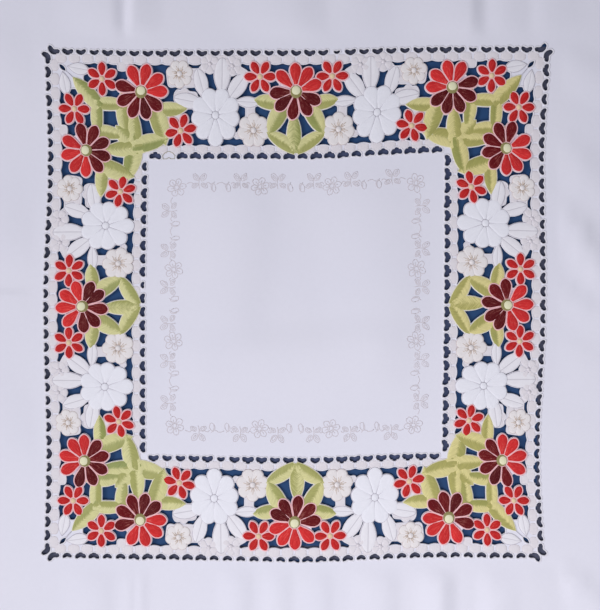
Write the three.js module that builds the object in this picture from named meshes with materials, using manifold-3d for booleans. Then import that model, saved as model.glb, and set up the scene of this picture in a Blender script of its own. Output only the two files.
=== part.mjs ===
// An embroidered square tablecloth, laid flat and face up.
// It is one piece: a plain field, a square band of cutwork, a plain margin and a turned hem.
// In the band, stitched flowers and leaves hold on to each other, and the ground between
// them is cut away. A row of small heart-shaped holes runs along both edges of the band.
// Millimetres, +Z up, with the origin under the middle of the cloth.

import * as THREE from 'three';
import { mergeVertices } from 'three/addons/utils/BufferGeometryUtils.js';
import Module from 'manifold-3d';

// The sheet
const clothSide = 850;
const clothThickness = 1.2;
const hemWidth = 12;
const hemThickness = 2.0;
const hemStep = 1;

// The band of cutwork, measured from the middle of the cloth to its two rows of hearts
const outerRow = 250;
const innerRow = 152;
const shellDepth = 10.6;
const cornerFan = 36;

// The rows of hearts: every second one of the fine outer row is cut through
const heartPitch = 13.5;
const outerHearts = { count: 37, every: 2, length: 10.6, depth: 6, bump: 2.6 };
const innerHearts = { count: 22, every: 1, length: 10.8, depth: 6.6, bump: 2.8 };

// Cutwork holes: the narrowest that is cut, the smallest corner of an outline that is kept,
// in square millimetres, and the most holes in all
const narrowestHole = 4;
const smallestCorner = 4;
const mostHoles = 300;

// The flat plate ends a little outside the outer row, and the margin strips begin there
const plateHalf = 262;
const clothHalf = clothSide / 2;
const marginDepth = clothHalf - plateHalf;

// Corner motifs: "out" and "down" are measured from the corner's two outer rows of hearts.
// Each has a twin across the corner's diagonal.
const cornerFlowers = [
  { name: 'rose', out: 94.5, down: 37, reach: 28.5, petals: 9, notch: 0.8, turn: 0 },
  { name: 'small flower', out: 55.2, down: 26, reach: 17.4, petals: 6, notch: 0.6, turn: 30 },
  { name: 'inner flower', out: 134, down: 73.5, reach: 16.8, petals: 6, notch: 0.62, turn: 12 },
];
const cornerLeaves = [
  { name: 'square leaf', base: [46, 50], tip: [84, 52], width: 13 },
  { name: 'petal leaf', base: [78, 72], tip: [77, 34], width: 11 },
  { name: 'slanting leaf', base: [106, 50], tip: [118, 87], width: 15 },
  { name: 'outer leaf', base: [110, 54], tip: [141, 54], width: 12 },
  { name: 'tie to the corner', base: [34, 18], tip: [50, 21], width: 5 },
];

// The star of leaves in each corner leans a little, so its leaves are given one by one
const starLeaves = [
  { name: 'diagonal leaf', base: [51, 51], tip: [24, 24], width: 14 },
  { name: 'star leaf inwards', base: [92, 92], tip: [66, 66], width: 16 },
  { name: 'star leaf up', base: [88, 92], tip: [86, 50], width: 11 },
  { name: 'star leaf left', base: [92, 90], tip: [54, 95], width: 12 },
  { name: 'star leaf right', base: [84, 88], tip: [121, 81], width: 14 },
  { name: 'star leaf down', base: [89, 84], tip: [80, 121], width: 13 },
];

// Side motifs: "along" from the middle of a side, "down" from its outer row of hearts
const sideFlowers = [
  { name: 'rose', along: 0, down: 37, reach: 28.5, petals: 9, notch: 0.8, turn: 15 },
];
const sideLeaves = [
  { name: 'centre leaf', base: [-2, 93], tip: [-2, 58], width: 14 },
];

// These have a twin on the other half of the side
const pairedFlowers = [
  { name: 'small flower', along: 36, down: 23.5, reach: 16.2, petals: 6, notch: 0.64, turn: 0 },
  { name: 'white flower', along: 81, down: 60, reach: 29, petals: 9, notch: 0.86, turn: 30 },
  { name: 'cream flower', along: 42.5, down: 73, reach: 16, petals: 8, notch: 0.88, turn: 22 },
  { name: 'outer cream flower', along: 118, down: 21.5, reach: 14.5, petals: 8, notch: 0.9, turn: 22 },
  { name: 'knot', along: 64, down: 13, reach: 9.5, petals: 6, notch: 0.9, turn: 30 },
  { name: 'second knot', along: 86, down: 12, reach: 9.5, petals: 6, notch: 0.9, turn: 30 },
];
const pairedLeaves = [
  { name: 'side leaf', base: [18, 50], tip: [43, 45], width: 12 },
  { name: 'bent leaf', base: [11, 50], tip: [28, 76], width: 14 },
  { name: 'foot leaf', base: [0, 91], tip: [30, 73], width: 14 },
  { name: 'white leaf to the rose', base: [62, 46], tip: [39, 48], width: 12 },
  { name: 'white stem', base: [46, 46], tip: [46, 66], width: 8 },
  { name: 'white leaf to the knot', base: [72, 46], tip: [51, 22], width: 18 },
  { name: 'upright white leaf', base: [75, 38], tip: [75, 3], width: 17 },
  { name: 'leaning white leaf', base: [92, 43], tip: [102, 15], width: 19 },
  { name: 'flat white leaf', base: [92, 46], tip: [127, 46], width: 17 },
];

// Folds of the margin. "at" runs along the side from its middle, clockwise positive, "spread"
// is half of the fold's width, and "lean" moves its crest along for each millimetre outwards.
const folds = {
  top: [
    { name: 'pressed crease', at: -172, spread: 9, height: 5, lean: -0.03 },
    { name: 'edge of the wedge', at: -148, spread: 9, height: 6, lean: 0.1 },
    { name: 'left of the valley', at: 0, spread: 26, height: 3, lean: 0 },
    { name: 'right of the valley', at: 56, spread: 26, height: 3, lean: 0 },
    { name: 'step', at: 170, spread: 14, height: 5, lean: 0 },
  ],
  right: [
    { name: 'ridge over the valley', at: -150, spread: 24, height: 6, lean: 0.8 },
    { name: 'ridge under the valley', at: -84, spread: 24, height: 7, lean: 0.8 },
    { name: 'soft ridge', at: 20, spread: 28, height: 4, lean: 0.5 },
  ],
  bottom: [
    { name: 'corner softness', at: -235, spread: 24, height: 4, lean: 0 },
    { name: 'dark crease', at: -155, spread: 12, height: 6, lean: 0 },
    { name: 'first ripple', at: -95, spread: 18, height: 4, lean: 0 },
    { name: 'second ripple', at: -35, spread: 15, height: 4, lean: 0 },
    { name: 'third ripple', at: 8, spread: 15, height: 4, lean: 0 },
    { name: 'fourth ripple', at: 50, spread: 18, height: 4, lean: 0 },
    { name: 'fifth ripple', at: 156, spread: 13, height: 5, lean: 0 },
    { name: 'sixth ripple', at: 187, spread: 12, height: 5, lean: 0 },
  ],
  left: [
    { name: 'faint line', at: 15, spread: 14, height: 3, lean: 0 },
    { name: 'soft ridge', at: -120, spread: 30, height: 3, lean: 0 },
  ],
};

// The cloth was pulled a little out of square: shifts at the rows of hearts and the middle,
// from left to right, in rows from the top of the cloth to its bottom
const pullStations = [-outerRow, -innerRow, 0, innerRow, outerRow];
const pull = [
  { row: 'outer top', right: [3.9, 2.5, 1.0, 1.0, 0.4], up: [2.4, 0.4, 0.9, 4.1, 4.4] },
  { row: 'inner top', right: [6.3, 0.6, 0.5, -0.6, -4.2], up: [-0.6, -3.1, -3.1, 2.4, -0.6] },
  { row: 'middle', right: [0.3, -3.2, 0, 1.3, -1.7], up: [-2, 0, 0, 0, 0] },
  { row: 'inner bottom', right: [2.8, -1.3, 0, -2.1, -7.2], up: [-0.6, -2.1, -4.6, -0.1, -0.6] },
  { row: 'outer bottom', right: [0.2, 0, -1, -1, -2.6], up: [-2.1, -3.6, -6.4, -1.6, -2.6] },
];

const wasm = await Module();
wasm.setup();

// A closed geometry as a solid that can be joined and cut
function solidOf(geometry) {
  geometry.deleteAttribute('normal');
  geometry.deleteAttribute('uv');
  const merged = mergeVertices(geometry, 1e-4);
  const vertProperties = new Float32Array(merged.attributes.position.array);
  const triVerts = new Uint32Array(merged.index.array);
  return new wasm.Manifold(new wasm.Mesh({ numProp: 3, vertProperties, triVerts }));
}

// An upright prism over an outline of [x, y] points, tall enough to cut the whole sheet
const cutBelow = 2;
const cutAbove = 6;
const toVectors = (points) => points.map(([x, y]) => new THREE.Vector2(x, y));
function prism(points, holes = [], bottom = -cutBelow, top = cutAbove) {
  const outline = toVectors(points);
  if (THREE.ShapeUtils.isClockWise(outline)) outline.reverse();
  const shape = new THREE.Shape(outline);
  for (const hole of holes) shape.holes.push(new THREE.Path(toVectors(hole)));
  const geometry = new THREE.ExtrudeGeometry(shape, { depth: top - bottom, bevelEnabled: false });
  geometry.translate(0, 0, bottom);
  return solidOf(geometry);
}

const joined = (solids) => solids.reduce((whole, solid) => whole.add(solid));

// A point given along a side and down from its outer row, on the top side of the cloth
const onSide = ([along, down]) => [along, outerRow - down];
const onCorner = ([out, down]) => [out - outerRow, outerRow - down];
const acrossDiagonal = ([out, down]) => [down, out];
const acrossSide = ([along, down]) => [-along, down];

// The same outline on all four sides, each a quarter turn clockwise from the one before
function onAllSides(outline) {
  const turned = [outline];
  for (let side = 1; side < 4; side += 1) {
    turned.push(turned[side - 1].map(([x, y]) => [y, -x]));
  }
  return turned;
}

// A flower's outline: two points round each petal tip and one in each notch
const tipHalfAngle = 10;
function flowerOutline(flower, centre) {
  const points = [];
  const step = 360 / flower.petals;
  for (let petal = 0; petal < flower.petals; petal += 1) {
    const middle = flower.turn + petal * step;
    const ring = [
      [middle - tipHalfAngle, 1],
      [middle + tipHalfAngle, 1],
      [middle + step / 2, flower.notch],
    ];
    for (const [degrees, share] of ring) {
      const angle = THREE.MathUtils.degToRad(degrees);
      const radius = flower.reach * share;
      points.push([centre[0] + radius * Math.cos(angle), centre[1] + radius * Math.sin(angle)]);
    }
  }
  return points;
}

// A leaf's outline: a blunt base, a full middle and a pointed tip
const leafStations = [
  { along: 0, width: 0.55 },
  { along: 0.4, width: 1 },
  { along: 0.75, width: 0.72 },
];
function leafOutline(leaf) {
  const [bx, by] = leaf.base;
  const [tx, ty] = leaf.tip;
  const length = Math.hypot(tx - bx, ty - by);
  const across = [-(ty - by) / length, (tx - bx) / length];
  const edge = (side) => leafStations.map(({ along, width }) => {
    const half = side * width * leaf.width / 2;
    return [bx + (tx - bx) * along + across[0] * half, by + (ty - by) * along + across[1] * half];
  });
  return [...edge(1), leaf.tip, ...edge(-1).reverse()];
}

// All motifs of one side and the corner at its left end, as outlines in cloth coordinates
function sideMotifs() {
  const outlines = [];
  for (const flower of cornerFlowers) {
    const centre = onCorner([flower.out, flower.down]);
    const twin = onCorner(acrossDiagonal([flower.out, flower.down]));
    outlines.push(flowerOutline(flower, centre));
    outlines.push(flowerOutline({ ...flower, turn: -90 - flower.turn }, twin));
  }
  for (const leaf of cornerLeaves) {
    outlines.push(leafOutline(leaf).map(onCorner));
    outlines.push(leafOutline(leaf).map(acrossDiagonal).map(onCorner));
  }
  for (const leaf of starLeaves) outlines.push(leafOutline(leaf).map(onCorner));
  for (const flower of sideFlowers) {
    outlines.push(flowerOutline(flower, onSide([flower.along, flower.down])));
  }
  for (const leaf of sideLeaves) outlines.push(leafOutline(leaf).map(onSide));
  for (const flower of pairedFlowers) {
    outlines.push(flowerOutline(flower, onSide([flower.along, flower.down])));
    const twin = onSide(acrossSide([flower.along, flower.down]));
    outlines.push(flowerOutline({ ...flower, turn: 180 - flower.turn }, twin));
  }
  for (const leaf of pairedLeaves) {
    outlines.push(leafOutline(leaf).map(onSide));
    outlines.push(leafOutline(leaf).map(acrossSide).map(onSide));
  }
  const fan = cornerFan;
  outlines.push([[0, 0], [fan, 0], [fan, fan], [0, fan]].map(onCorner));
  return outlines;
}

// Where a point of the band lies after the pull, blended smoothly between rows and columns
function stationAt(value) {
  const last = pullStations.length - 2;
  const clamped = THREE.MathUtils.clamp(value, pullStations[0], pullStations[last + 1]);
  const found = pullStations.findIndex((station) => station > clamped) - 1;
  const index = found < 0 ? last : found;
  const share = THREE.MathUtils.smoothstep(clamped, pullStations[index], pullStations[index + 1]);
  return { index, share };
}
function pulled([x, y]) {
  const column = stationAt(x);
  const row = stationAt(-y);
  const blend = (key) => {
    const at = (r) => THREE.MathUtils.lerp(
      pull[r][key][column.index],
      pull[r][key][column.index + 1],
      column.share,
    );
    return THREE.MathUtils.lerp(at(row.index), at(row.index + 1), row.share);
  };
  return [x + blend('right'), y + blend('up')];
}

const square = (half) => [[-half, -half], [half, -half], [half, half], [-half, half]];

// The outline of an upright solid's top face: its edges that only one triangle has, in a row
function topOutline(solid) {
  const mesh = solid.getMesh();
  const place = (vertex) => [...mesh.vertProperties.slice(3 * vertex, 3 * vertex + 3)];
  const edges = new Map();
  for (let start = 0; start < mesh.triVerts.length; start += 3) {
    const corners = [...mesh.triVerts.slice(start, start + 3)];
    if (corners.some((vertex) => place(vertex)[2] < cutAbove)) continue;
    corners.forEach((from, index) => {
      const to = corners[(index + 1) % 3];
      if (!edges.delete(`${to} ${from}`)) edges.set(`${from} ${to}`, [from, to]);
    });
  }
  const next = new Map(edges.values());
  const outline = [];
  let vertex = next.keys().next().value;
  while (next.has(vertex)) {
    outline.push(place(vertex).slice(0, 2));
    const following = next.get(vertex);
    next.delete(vertex);
    vertex = following;
  }
  return outline;
}

// Twice the signed area of the triangle a, b, c
const turnOf = (a, b, c) => (b[0] - a[0]) * (c[1] - a[1]) - (c[0] - a[0]) * (b[1] - a[1]);

// Whether a point lies inside or on the triangle a, b, c
function inTriangle(point, [a, b, c]) {
  const turns = [turnOf(a, b, point), turnOf(b, c, point), turnOf(c, a, point)];
  return turns.every((turn) => turn >= 0) || turns.every((turn) => turn <= 0);
}

// The outline without its slightest corners: the least triangle goes first, again and again,
// but none that another stretch of the outline reaches into
function simplified(outline) {
  const points = [...outline];
  while (points.length > 3) {
    const areas = points.map((point, index) => {
      const corner = [points.at(index - 1), point, points[(index + 1) % points.length]];
      const blocked = points.some((other) => !corner.includes(other) && inTriangle(other, corner));
      return blocked ? Infinity : Math.abs(turnOf(...corner)) / 2;
    });
    const least = Math.min(...areas);
    if (least > smallestCorner) break;
    points.splice(areas.indexOf(least), 1);
  }
  return points;
}

// Four times the area over the rim: the width of the largest circle, for a compact outline
const areaOf = (outline) => Math.abs(THREE.ShapeUtils.area(toVectors(outline)));
function widthOf(outline) {
  const vectors = toVectors(outline);
  const rim = vectors.reduce((sum, point, index) => sum + point.distanceTo(vectors.at(index - 1)), 0);
  return 4 * areaOf(outline) / rim;
}

// The holes between the motifs: what is left of the ground, the largest first
function cutworkHoles(limit) {
  const ground = prism(square(outerRow - shellDepth), [square(innerRow + shellDepth)]);
  const motifs = joined(sideMotifs().flatMap(onAllSides).map((outline) => prism(outline)));
  const outlines = ground.subtract(motifs).decompose().map(topOutline).map(simplified);
  const wide = outlines.filter((outline) => widthOf(outline) > narrowestHole);
  wide.sort((a, b) => areaOf(b) - areaOf(a));
  return wide.slice(0, limit).map((outline) => prism(outline.map(pulled)));
}

// One heart: two lobes towards the plain cloth, with the cloth's edge bulging between them
const heartFoot = 0.55;
function heartOutline(row) {
  const half = row.length / 2;
  return [
    [-half, row.depth / 2],
    [0, row.depth / 2 - row.bump],
    [half, row.depth / 2],
    [heartFoot * half, -row.depth / 2],
    [-heartFoot * half, -row.depth / 2],
  ];
}

// The hearts of one row, on all four sides; "facing" is 1 where the lobes point outwards
function heartRow(row, half, facing) {
  const hearts = [];
  for (let index = 0; index < row.count; index += row.every) {
    const middle = (index - (row.count - 1) / 2) * heartPitch;
    const outline = heartOutline(row).map(([x, y]) => [middle + x, half + facing * y]);
    hearts.push(...onAllSides(outline).map((turned) => prism(turned.map(pulled))));
  }
  return hearts;
}

// A fold's cross-section falls smoothly to nothing at "spread" from its crest
const bump = (distance) => (Math.abs(distance) < 1 ? (1 - distance * distance) ** 2 : 0);
const foldStart = 18;
function foldHeight(sideFolds, along, depth) {
  const fadeIn = THREE.MathUtils.smoothstep(depth, 0, foldStart);
  let height = 0;
  for (const fold of sideFolds) {
    height += fold.height * bump((along - fold.at - fold.lean * depth) / fold.spread);
  }
  return height * fadeIn;
}

// Grid lines of a margin strip: across it, and along it where a fold needs them
const hemStart = marginDepth - hemWidth;
const depthLines = [0, foldStart, hemStart - hemStep, hemStart, marginDepth];
const foldLines = [-1, -0.45, 0, 0.45, 1];
function alongLines(sideFolds, reach) {
  const lines = new Map([[-reach, 0], [reach, 0]]);
  for (const { at, spread, lean } of sideFolds) {
    for (const share of foldLines) lines.set(at + share * spread, lean);
  }
  return [...lines].sort((a, b) => a[0] - b[0]);
}

// A margin strip, made as the top one and turned to its side. The top and bottom strips reach
// the corners of the cloth, and the left and right ones fit between them.
function marginStrip(sideFolds, reach, quarterTurns) {
  const lines = alongLines(sideFolds, plateHalf);
  if (reach > plateHalf) {
    for (const edge of [hemWidth, hemWidth + hemStep]) {
      lines.unshift([-reach + edge, 0]);
      lines.push([reach - edge, 0]);
    }
    lines.unshift([-reach, 0]);
    lines.push([reach, 0]);
    lines.sort((a, b) => a[0] - b[0]);
  }
  const geometry = new THREE.BoxGeometry(1, 1, 1, lines.length - 1, depthLines.length - 1, 1);
  const points = geometry.attributes.position;
  for (let index = 0; index < points.count; index += 1) {
    const [start, lean] = lines[Math.round((points.getX(index) + 0.5) * (lines.length - 1))];
    const depth = depthLines[Math.round((points.getY(index) + 0.5) * (depthLines.length - 1))];
    const along = start + lean * depth;
    const inHem = depth >= hemStart || Math.abs(along) >= clothHalf - hemWidth;
    const thickness = inHem ? hemThickness : clothThickness;
    const height = foldHeight(sideFolds, along, depth);
    const z = points.getZ(index) > 0 ? height + thickness : height;
    points.setXYZ(index, along, plateHalf + depth, z);
  }
  geometry.rotateZ(-quarterTurns * Math.PI / 2);
  return solidOf(geometry);
}

function clothGeometry() {
  const hearts = [
    ...heartRow(outerHearts, outerRow, 1),
    ...heartRow(innerHearts, innerRow, -1),
  ];
  const holes = [...hearts, ...cutworkHoles(mostHoles - hearts.length)];
  const plate = prism(square(plateHalf), [], 0, clothThickness).subtract(joined(holes));
  const cloth = joined([
    plate,
    marginStrip(folds.top, clothHalf, 0),
    marginStrip(folds.right, plateHalf, 1),
    marginStrip(folds.bottom, clothHalf, 2),
    marginStrip(folds.left, plateHalf, 3),
  ]);
  const mesh = cloth.getMesh();
  const geometry = new THREE.BufferGeometry();
  const positions = new Float32Array(mesh.vertProperties);
  geometry.setAttribute('position', new THREE.BufferAttribute(positions, 3));
  geometry.setIndex(new THREE.BufferAttribute(new Uint32Array(mesh.triVerts), 1));
  geometry.computeVertexNormals();
  return geometry;
}

const linen = new THREE.MeshStandardMaterial({ color: 0xdfe2ee, roughness: 0.9, metalness: 0 });
const cloth = new THREE.Mesh(clothGeometry(), linen);
cloth.name = 'cloth';

const tablecloth = new THREE.Group();
tablecloth.add(cloth);

export default tablecloth;
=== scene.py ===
# %% [markdown]
# An embroidered tablecloth in Blender
#
# The cloth is one square of white fabric. A square band of it is cutwork: flowers and leaves
# are stitched first, and the ground between them is then cut away, so that they hold on to
# each other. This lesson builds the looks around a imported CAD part. That part stays hidden
# here, and a finer cloth with all its stitching takes its place.

# %% Load the frame
import math

import bmesh
import bpy
import numpy as np
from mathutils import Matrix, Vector
from mathutils.geometry import delaunay_2d_cdt


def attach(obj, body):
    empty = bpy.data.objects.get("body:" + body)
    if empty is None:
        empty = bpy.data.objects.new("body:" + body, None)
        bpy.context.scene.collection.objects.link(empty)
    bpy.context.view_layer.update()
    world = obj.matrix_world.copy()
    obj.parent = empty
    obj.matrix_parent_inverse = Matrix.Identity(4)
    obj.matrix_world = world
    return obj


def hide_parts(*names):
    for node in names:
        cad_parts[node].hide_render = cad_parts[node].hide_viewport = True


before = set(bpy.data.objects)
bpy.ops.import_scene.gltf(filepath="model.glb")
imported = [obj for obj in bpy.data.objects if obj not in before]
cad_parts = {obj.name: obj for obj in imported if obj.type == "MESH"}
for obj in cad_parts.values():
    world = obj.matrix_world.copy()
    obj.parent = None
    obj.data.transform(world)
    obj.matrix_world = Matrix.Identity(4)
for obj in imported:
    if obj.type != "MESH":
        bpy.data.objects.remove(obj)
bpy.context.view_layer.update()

scene = bpy.context.scene

# %% [markdown]
# The camera looks straight down, as the maker would at a cloth spread on a table. It stands a
# little off the vertical, on the far side. At one metre, a pixel of the picture is a
# millimetre of the cloth.

# %% Camera
MM = 0.001
camera_distance = 1.0
camera_tilt = math.radians(1.5)
sensor_height = 36
picture_height = 0.610
look_at = Vector((0.0048, 0, 0))


def add_object(name, data):
    added = bpy.data.objects.new(name, data)
    scene.collection.objects.link(added)
    return added


camera_data = bpy.data.cameras.new("camera")
camera_data.sensor_fit = "VERTICAL"
camera_data.sensor_height = sensor_height
camera_data.lens = sensor_height * camera_distance / picture_height
camera = add_object("camera", camera_data)
towards_camera = Vector((0, math.sin(camera_tilt), math.cos(camera_tilt)))
camera.location = look_at + camera_distance * towards_camera
camera.rotation_euler = (-camera_tilt, 0, 0)
scene.camera = camera
print("camera lens in millimetres:", round(camera_data.lens, 1))

# %% [markdown]
# The light is a plain soft studio light: a wide panel overhead, one further off on the left
# that brings out the folds and the padding of the stitches, and a pale sky. The colours of
# thread are judged, so the picture is shown without any film curve.

# %% Light
scene.view_settings.view_transform = "Standard"


def panel_light(name, place, size, power, colour):
    """A square panel that shines at the middle of the cloth."""
    light = bpy.data.lights.new(name, "AREA")
    light.shape = "SQUARE"
    light.size = size
    light.energy = power
    light.color = colour
    lamp = add_object(name, light)
    lamp.location = place
    lamp.rotation_euler = Vector(place).to_track_quat("Z", "Y").to_euler()
    print("light:", name, power, "W")


panel_light("overhead_panel", (0.15, -0.65, 1.0), 0.6, 6.4, (1.0, 0.985, 0.975))
panel_light("side_panel", (-3.2, 0.3, 2.55), 1.2, 73, (1.0, 0.99, 0.99))
world = bpy.data.worlds.new("pale_sky")
scene.world = world
world.use_nodes = True
sky = world.node_tree.nodes["Background"]
sky.inputs["Color"].default_value = (0.89, 0.93, 1.0, 1)
sky.inputs["Strength"].default_value = 0.3

# %% [markdown]
# The design is a square that repeats with every quarter turn, so it is drawn for one side and
# the corner at its left end. Sizes are in millimetres. "down" is measured inwards from the
# outer row of small hearts, "along" from the middle of the side and "out" from the corner.
# These are the same driving dimensions that the CAD part was made from.

# %% Driving dimensions
cloth_side = 850
cloth_half = cloth_side / 2
cloth_thickness = 1.2
hem_width = 12
hem_thickness = 2.0

outer_row = 250
inner_row = 152
shell_depth = 10.6
outer_overhang = 1.1
inner_overhang = 0.4
corner_fan = 36
heart_pitch = 13.5
outer_hearts = 37
inner_hearts = 22
plate_half = 262

dice = np.random.default_rng(7)

# %% [markdown]
# A flower is a ring of petals. Each petal starts a little way from the flower's middle and
# reaches to its tip, and its width is given at ten stations along it. "backing" is the share
# of the flower that keeps its fabric between the petals, and "knob" the radius of its middle.
# A white flower's petals differ in length, by their shares.

# %% Kinds of flower
petal_stations = [0, 0.1, 0.25, 0.45, 0.6, 0.72, 0.83, 0.92, 0.97, 1]
petal_widths = {
    "rose": [0.29, 0.43, 0.65, 0.9, 1, 0.98, 0.83, 0.58, 0.37, 0],
    "small red": [0.28, 0.52, 0.8, 0.98, 1, 0.92, 0.74, 0.5, 0.3, 0],
    "white": [0.16, 0.29, 0.48, 0.73, 0.92, 1, 0.89, 0.63, 0.4, 0],
    "cream": [0.26, 0.42, 0.64, 0.88, 1, 0.98, 0.86, 0.62, 0.4, 0],
    "knot": [0.2, 0.36, 0.58, 0.85, 0.99, 1, 0.88, 0.64, 0.42, 0],
}


def table(columns, *rows):
    """A dictionary for each row, by the columns' names. A row may leave out its last ones."""
    return [dict(zip(columns.split(), row)) for row in rows]


rose, small_red, white_flower, cream_flower, outer_cream_flower, knot = table(
    "kind reach start width backing knob shares",
    ("rose", 27.5, 5.2, 13.2, 0.66),
    ("small red", 17, 2.4, 9.8, 0.56, 2.7),
    ("white", 27.5, 3.6, 15.8, 0.72, 3.6, [0.94, 0.95, 0.95, 0.94, 0.89, 0.98, 1.08, 0.98, 0.89]),
    ("cream", 16.3, 2.6, 11.8, 0.7, 2.8),
    ("cream", 13.5, 2.2, 9.8, 0.7, 2.8),
    ("knot", 9.5, 1.6, 7.6, 0.85, 1.9),
)
crescent_radius = 6.0
rose_knob_radius = 4.4

# %% [markdown]
# Each rose has nine petals: the ones that face the edge of the band are bright, the others
# dark. Its angles are the maker's own and not quite even. All other flowers repeat their
# petals evenly. "at" is out and down in the corner, and along and down on a side.

# %% Flowers
bright_petals = 4


def evenly(count, turn):
    return [turn + 360 * index / count for index in range(count)]


flower_columns = "name at look angles"
corner_flowers = table(
    flower_columns,
    ("rose", (94.5, 37), rose, [0, 35, 75, 115, 166, 206, 246, 284, 320]),
    ("small flower", (55.2, 26), small_red, evenly(6, 30)),
    ("inner flower", (134, 73.5), small_red, evenly(6, 12)),
)
side_flowers = table(
    flower_columns,
    ("rose", (0, 37), rose, [17, 55, 92, 136, 185, 220, 261, 303, 336]),
)
paired_flowers = table(
    flower_columns,
    ("small flower", (36, 23.5), small_red, evenly(6, 0)),
    ("white flower", (81, 59), white_flower, evenly(9, 30)),
    ("cream flower", (42.5, 73), cream_flower, evenly(7, 38)),
    ("outer cream flower", (117, 20.5), outer_cream_flower, evenly(7, 12)),
    ("knot", (64, 13), knot, evenly(6, 30)),
    ("second knot", (86.5, 11), knot, evenly(6, 30)),
)

# %% [markdown]
# Leaves join the flowers to each other. A leaf goes from its base to its tip and is widest
# near the middle. "bow" bends it sideways. "tone" is how far its two halves differ, partly in
# thread and partly in painted sheen.

# %% Leaves
leaf_columns = "name base tip width bow tone"
star_leaves = table(
    leaf_columns,
    ("diagonal leaf", (54, 54), (25, 25), 16),
    ("star leaf inwards", (95, 95), (68, 69), 20),
    ("star leaf up", (89, 98), (86, 50), 15),
    ("star leaf left", (98, 90), (54, 93), 16),
    ("star leaf right", (84, 90), (122, 81), 17, 1),
    ("star leaf down", (91, 84), (81, 123), 18, -1),
)
side_leaves = table(leaf_columns, ("centre leaf", (-2, 95), (-2, 56), 15, 0, 0.25))
corner_leaves = table(
    leaf_columns,
    ("square leaf", (44, 50), (84, 51), 13, 1.5),
    ("petal leaf", (78, 74), (77, 34), 13.5, 2),
    ("slanting leaf", (106, 48), (119, 88), 18, 1),
    ("outer leaf", (108, 54), (141, 53), 14),
)
paired_green_leaves = table(
    leaf_columns,
    ("side leaf", (16, 50), (43, 45), 14, 1),
    ("bent leaf", (9, 46), (28, 78), 17, 1),
    ("foot leaf", (0, 93), (31, 74), 14, 1),
)
white_leaves_of_corner = table(leaf_columns, ("leaf by the slit", (19.5, 15), (41.5, 18.5), 12))
white_leaves_of_pair = table(
    leaf_columns,
    ("leaf to the rose", (62, 46), (37, 47.5), 10.5),
    ("leaf to the knot", (70, 47), (49.5, 20.5), 15.5),
    ("upright leaf", (74.5, 42), (74, 5), 17),
    ("leaning leaf", (91, 45), (99.5, 15.5), 14),
    ("flat leaf", (90, 49), (123, 43), 14.5),
)

# %% [markdown]
# Where two motifs only just miss each other, a short bar of stitches ties them together. The
# corner of the band keeps its fabric, with a slit between its two white leaves.

# %% Ties and the corner's slit
ties_of_corner = table(
    leaf_columns,
    ("shells to rose", (75.5, 9), (75.5, 18), 9.5),
    ("rose to cream flower", (124, 17), (126, 33), 9),
    ("rose to flat leaf", (128, 38), (138, 43), 9),
    ("leaf to inner flower", (127, 57), (136, 63), 7),
)
ties_of_pair = table(
    leaf_columns,
    ("outer flower to leaning leaf", (112, 20.5), (97, 20.5), 10),
    ("outer flower to leaf", (109, 35), (118, 43), 8),
    ("leaning leaf to flat leaf", (99, 42), (113, 41), 9),
    ("leaning leaf to flower", (101, 29), (114, 29), 8),
    ("second knot to leaf", (87, 14), (97, 17), 7),
    ("knot to leaf", (60, 16), (49, 22), 8),
    ("cream flower to white flower", (52, 75.5), (62, 79), 6),
    ("stem", (46, 44), (46, 66), 9),
)
slit_base = (11.5, 12.5)
slit_tip = (18.5, 19.5)
slit_half_width = 2.1

# %% [markdown]
# A worn cloth is never quite square. The pull table gives how far the real one is off the
# ideal square at its rows of hearts and its middle, and a smooth blend fills in between.
# Towards the plain margin the pull dies away, so that the hem stays straight.

# %% Pull
pull_stations = np.array([-outer_row, -inner_row, 0, inner_row, outer_row], float)
pull_right = np.array([
    [3.9, 2.5, 1.0, 1.0, 0.4],
    [6.3, 2.6, 0.8, -0.6, -4.2],
    [0.3, -0.1, 0, -0.6, -1.7],
    [2.8, -0.3, 0, -2.1, -7.2],
    [0.2, 0, -1, -1, -2.6],
])
pull_up = np.array([
    [2.4, 0.4, 0.9, 4.1, 4.4],
    [-0.6, -3.9, -4.2, 2.4, -0.6],
    [-2, 0, 0, 0, 0],
    [-0.6, -0.9, -3.4, 0.9, -0.6],
    [-2.1, -3.6, -6.4, -1.6, -2.6],
])
pull_ends = (plate_half, 330)


def smoothstep(value, low, high):
    share = np.clip((value - low) / (high - low), 0, 1)
    return share * share * (3 - 2 * share)


def station_of(values):
    """The station before each value, and how far it is on its way to the next one."""
    inside = np.clip(values, pull_stations[0], pull_stations[-1])
    last = len(pull_stations) - 2
    index = np.clip(np.searchsorted(pull_stations, inside, side="right") - 1, 0, last)
    return index, smoothstep(inside, pull_stations[index], pull_stations[index + 1])


def pulled(points):
    """Points of the ideal square cloth, moved to where the pulled cloth has them."""
    points = np.asarray(points, float)
    column, across = station_of(points[:, 0])
    row, down = station_of(-points[:, 1])
    left = 1 - smoothstep(np.abs(points).max(axis=1), *pull_ends)
    moved = points.copy()
    for axis, pull in enumerate((pull_right, pull_up)):
        upper = pull[row, column] * (1 - across) + pull[row, column + 1] * across
        lower = pull[row + 1, column] * (1 - across) + pull[row + 1, column + 1] * across
        moved[:, axis] += left * (upper * (1 - down) + lower * down)
    return moved


# %% [markdown]
# The cloth isn't pressed flat. In the margin each fold is a ridge that runs from the band to
# the hem. It spreads by its own widths before and after the crest, so one side can be steep,
# and it may lean. "crest" is 2 for a round crest, and nearer 1 for a sharp one. In the middle
# of the cloth the swells are lower and broader, each between two ends.

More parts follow.
